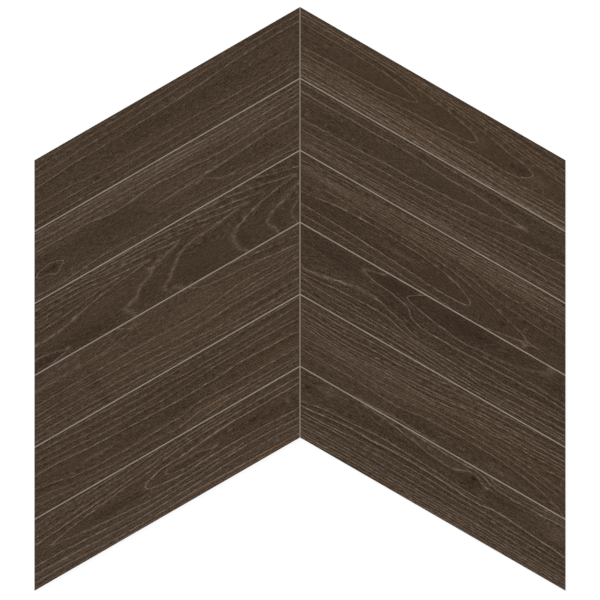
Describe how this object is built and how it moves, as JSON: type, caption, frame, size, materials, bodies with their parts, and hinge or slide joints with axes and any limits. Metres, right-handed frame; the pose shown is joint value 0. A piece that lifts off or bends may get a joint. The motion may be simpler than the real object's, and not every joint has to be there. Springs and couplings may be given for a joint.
{
  "type": "chevron porcelain tile sheet",
  "caption": "Arrow-shaped chevron sheet of mitred wood-look porcelain planks, jointed with pale filler, whose notch takes the apex of the next sheet.",
  "frame": {"origin": "under the middle of the sheet's overall box, on the plane that the keyed backs lie on", "axes": "+Z out of the printed face, +Y the way the arrow points, +X to the right as the face is seen with the arrow up"},
  "size_m": [0.6944, 0.7634, 0.009],
  "materials": {
    "wood_print_porcelain": "matte",
    "cement_joint": "matte"
  },
  "bodies": {
    "root": {"plank_left_1": "wood_print_porcelain", "plank_left_2": "wood_print_porcelain", "plank_left_3": "wood_print_porcelain", "plank_left_4": "wood_print_porcelain", "plank_left_5": "wood_print_porcelain", "plank_left_6": "wood_print_porcelain", "plank_right_1": "wood_print_porcelain", "plank_right_2": "wood_print_porcelain", "plank_right_3": "wood_print_porcelain", "plank_right_4": "wood_print_porcelain", "plank_right_5": "wood_print_porcelain", "plank_right_6": "wood_print_porcelain", "joint_filler": "cement_joint"}
  },
  "joints": []
}
